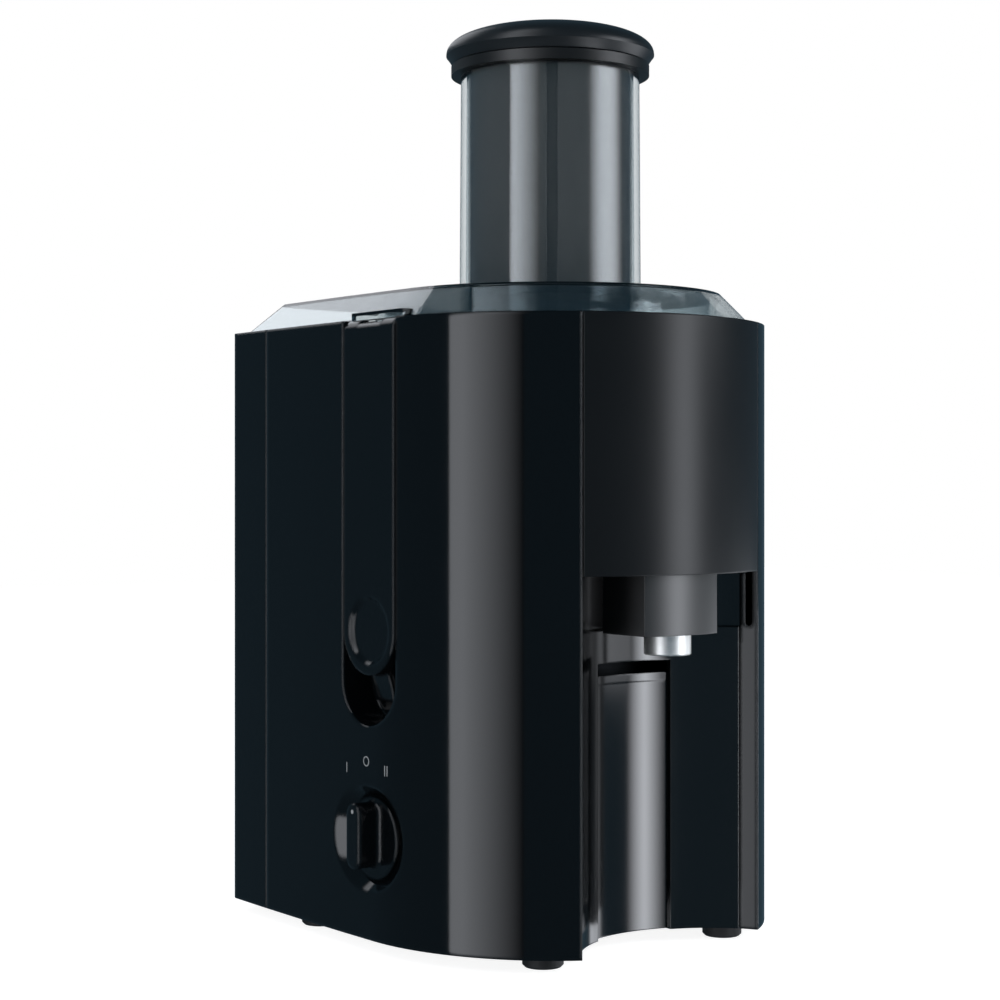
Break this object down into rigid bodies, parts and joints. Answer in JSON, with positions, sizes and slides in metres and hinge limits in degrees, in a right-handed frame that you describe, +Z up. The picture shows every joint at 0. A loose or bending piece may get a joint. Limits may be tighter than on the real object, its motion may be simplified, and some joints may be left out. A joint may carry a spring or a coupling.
{
  "type": "centrifugal juicer",
  "caption": "Upright kitchen juicer: black drum housing with a clear lid and feed chute, pusher, spinning filter, side pulp container, latch arms, speed knob and jug recess.",
  "frame": {"origin": "on the floor under the middle of the whole object", "axes": "+Z up, -Y out of the front with the knob, +X towards the juice spout and the jug recess"},
  "size_m": [0.225, 0.1956, 0.397],
  "materials": {
    "gloss_black_abs": "high-gloss moulded",
    "satin_black_abs": "satin moulded",
    "moulded_inner_plastic": "plain moulded",
    "smoke_black_plastic": "glossy moulded",
    "clear_polycarbonate": "clear moulded",
    "polished_steel": "polished",
    "zinc_steel": "zinc plated",
    "bearing_steel": "ground",
    "lamination_steel": "stacked sheet",
    "enamelled_copper": "enamelled wire",
    "commutator_copper": "turned copper",
    "brush_carbon": "pressed carbon",
    "stainless_sheet": "pressed sheet",
    "black_rubber": "moulded"
  },
  "bodies": {
    "housing": {"front_shell": "gloss_black_abs", "back_shell": "gloss_black_abs", "recess_wall": "satin_black_abs", "recess_panel": "satin_black_abs", "base_plate": "satin_black_abs", "feet": "black_rubber", "base_screws": "zinc_steel", "cord_gland": "black_rubber", "motor_deck": "moulded_inner_plastic", "bay_wall": "moulded_inner_plastic", "juice_bowl": "satin_black_abs", "apron": "satin_black_abs", "spout_block": "satin_black_abs", "lid": "clear_polycarbonate", "lid_gasket": "black_rubber", "latch_pins": "polished_steel", "speed_switch": "moulded_inner_plastic", "interlock_switch": "moulded_inner_plastic", "lower_bearing": "bearing_steel", "upper_bearing": "bearing_steel", "lower_motor_bracket": "moulded_inner_plastic", "upper_motor_bracket": "moulded_inner_plastic", "vibration_bushes": "black_rubber", "motor_stator": "lamination_steel", "field_coils": "enamelled_copper", "brush_holders": "moulded_inner_plastic", "carbon_brushes": "brush_carbon", "brush_springs": "bearing_steel", "shaft_seal": "black_rubber"},
    "pulp_container": {"pulp_container": "gloss_black_abs"},
    "drip_stop": {"drip_stop": "polished_steel"},
    "latch_front": {"latch_arm_front": "gloss_black_abs"},
    "latch_back": {"latch_arm_back": "gloss_black_abs"},
    "knob": {"knob": "gloss_black_abs", "switch_spindle": "bearing_steel"},
    "pusher": {"pusher_tube": "smoke_black_plastic", "pusher_cap": "gloss_black_abs"},
    "spinner": {"motor_shaft": "bearing_steel", "rotor_core": "lamination_steel", "rotor_windings": "enamelled_copper", "commutator": "commutator_copper", "cooling_fan": "moulded_inner_plastic", "drive_coupling": "moulded_inner_plastic", "filter_basket": "moulded_inner_plastic", "filter_mesh": "stainless_sheet", "grater_disc": "stainless_sheet"}
  },
  "joints": [
    {"name": "pusher_slide", "type": "slide", "parent": "housing", "child": "pusher", "axis": [0, 0, 1], "range_m": [0, 0.15]},
    {"name": "front_latch_swing", "type": "hinge", "parent": "housing", "child": "latch_front", "pos_m": [0.0135, -0.08545, 0.2605], "axis": [-1, 0, 0], "range_deg": [0, 100]},
    {"name": "back_latch_swing", "type": "hinge", "parent": "housing", "child": "latch_back", "pos_m": [0.0135, 0.09305, 0.2605], "axis": [1, 0, 0], "range_deg": [0, 100]},
    {"name": "knob_turn", "type": "hinge", "parent": "housing", "child": "knob", "pos_m": [0.0135, -0.0902, 0.048], "axis": [0, -1, 0], "range_deg": [-30, 30]},
    {"name": "filter_spin", "type": "hinge", "parent": "housing", "child": "spinner", "pos_m": [0.0185, 0.0038, 0.1], "axis": [0, 0, 1], "continuous": true},
    {"name": "drip_stop_slide", "type": "slide", "parent": "housing", "child": "drip_stop", "axis": [0, 0, 1], "range_m": [0, 0.006]},
    {"name": "pulp_container_slide", "type": "slide", "parent": "housing", "child": "pulp_container", "axis": [-1, 0, 0], "range_m": [0, 0.12]}
  ]
}
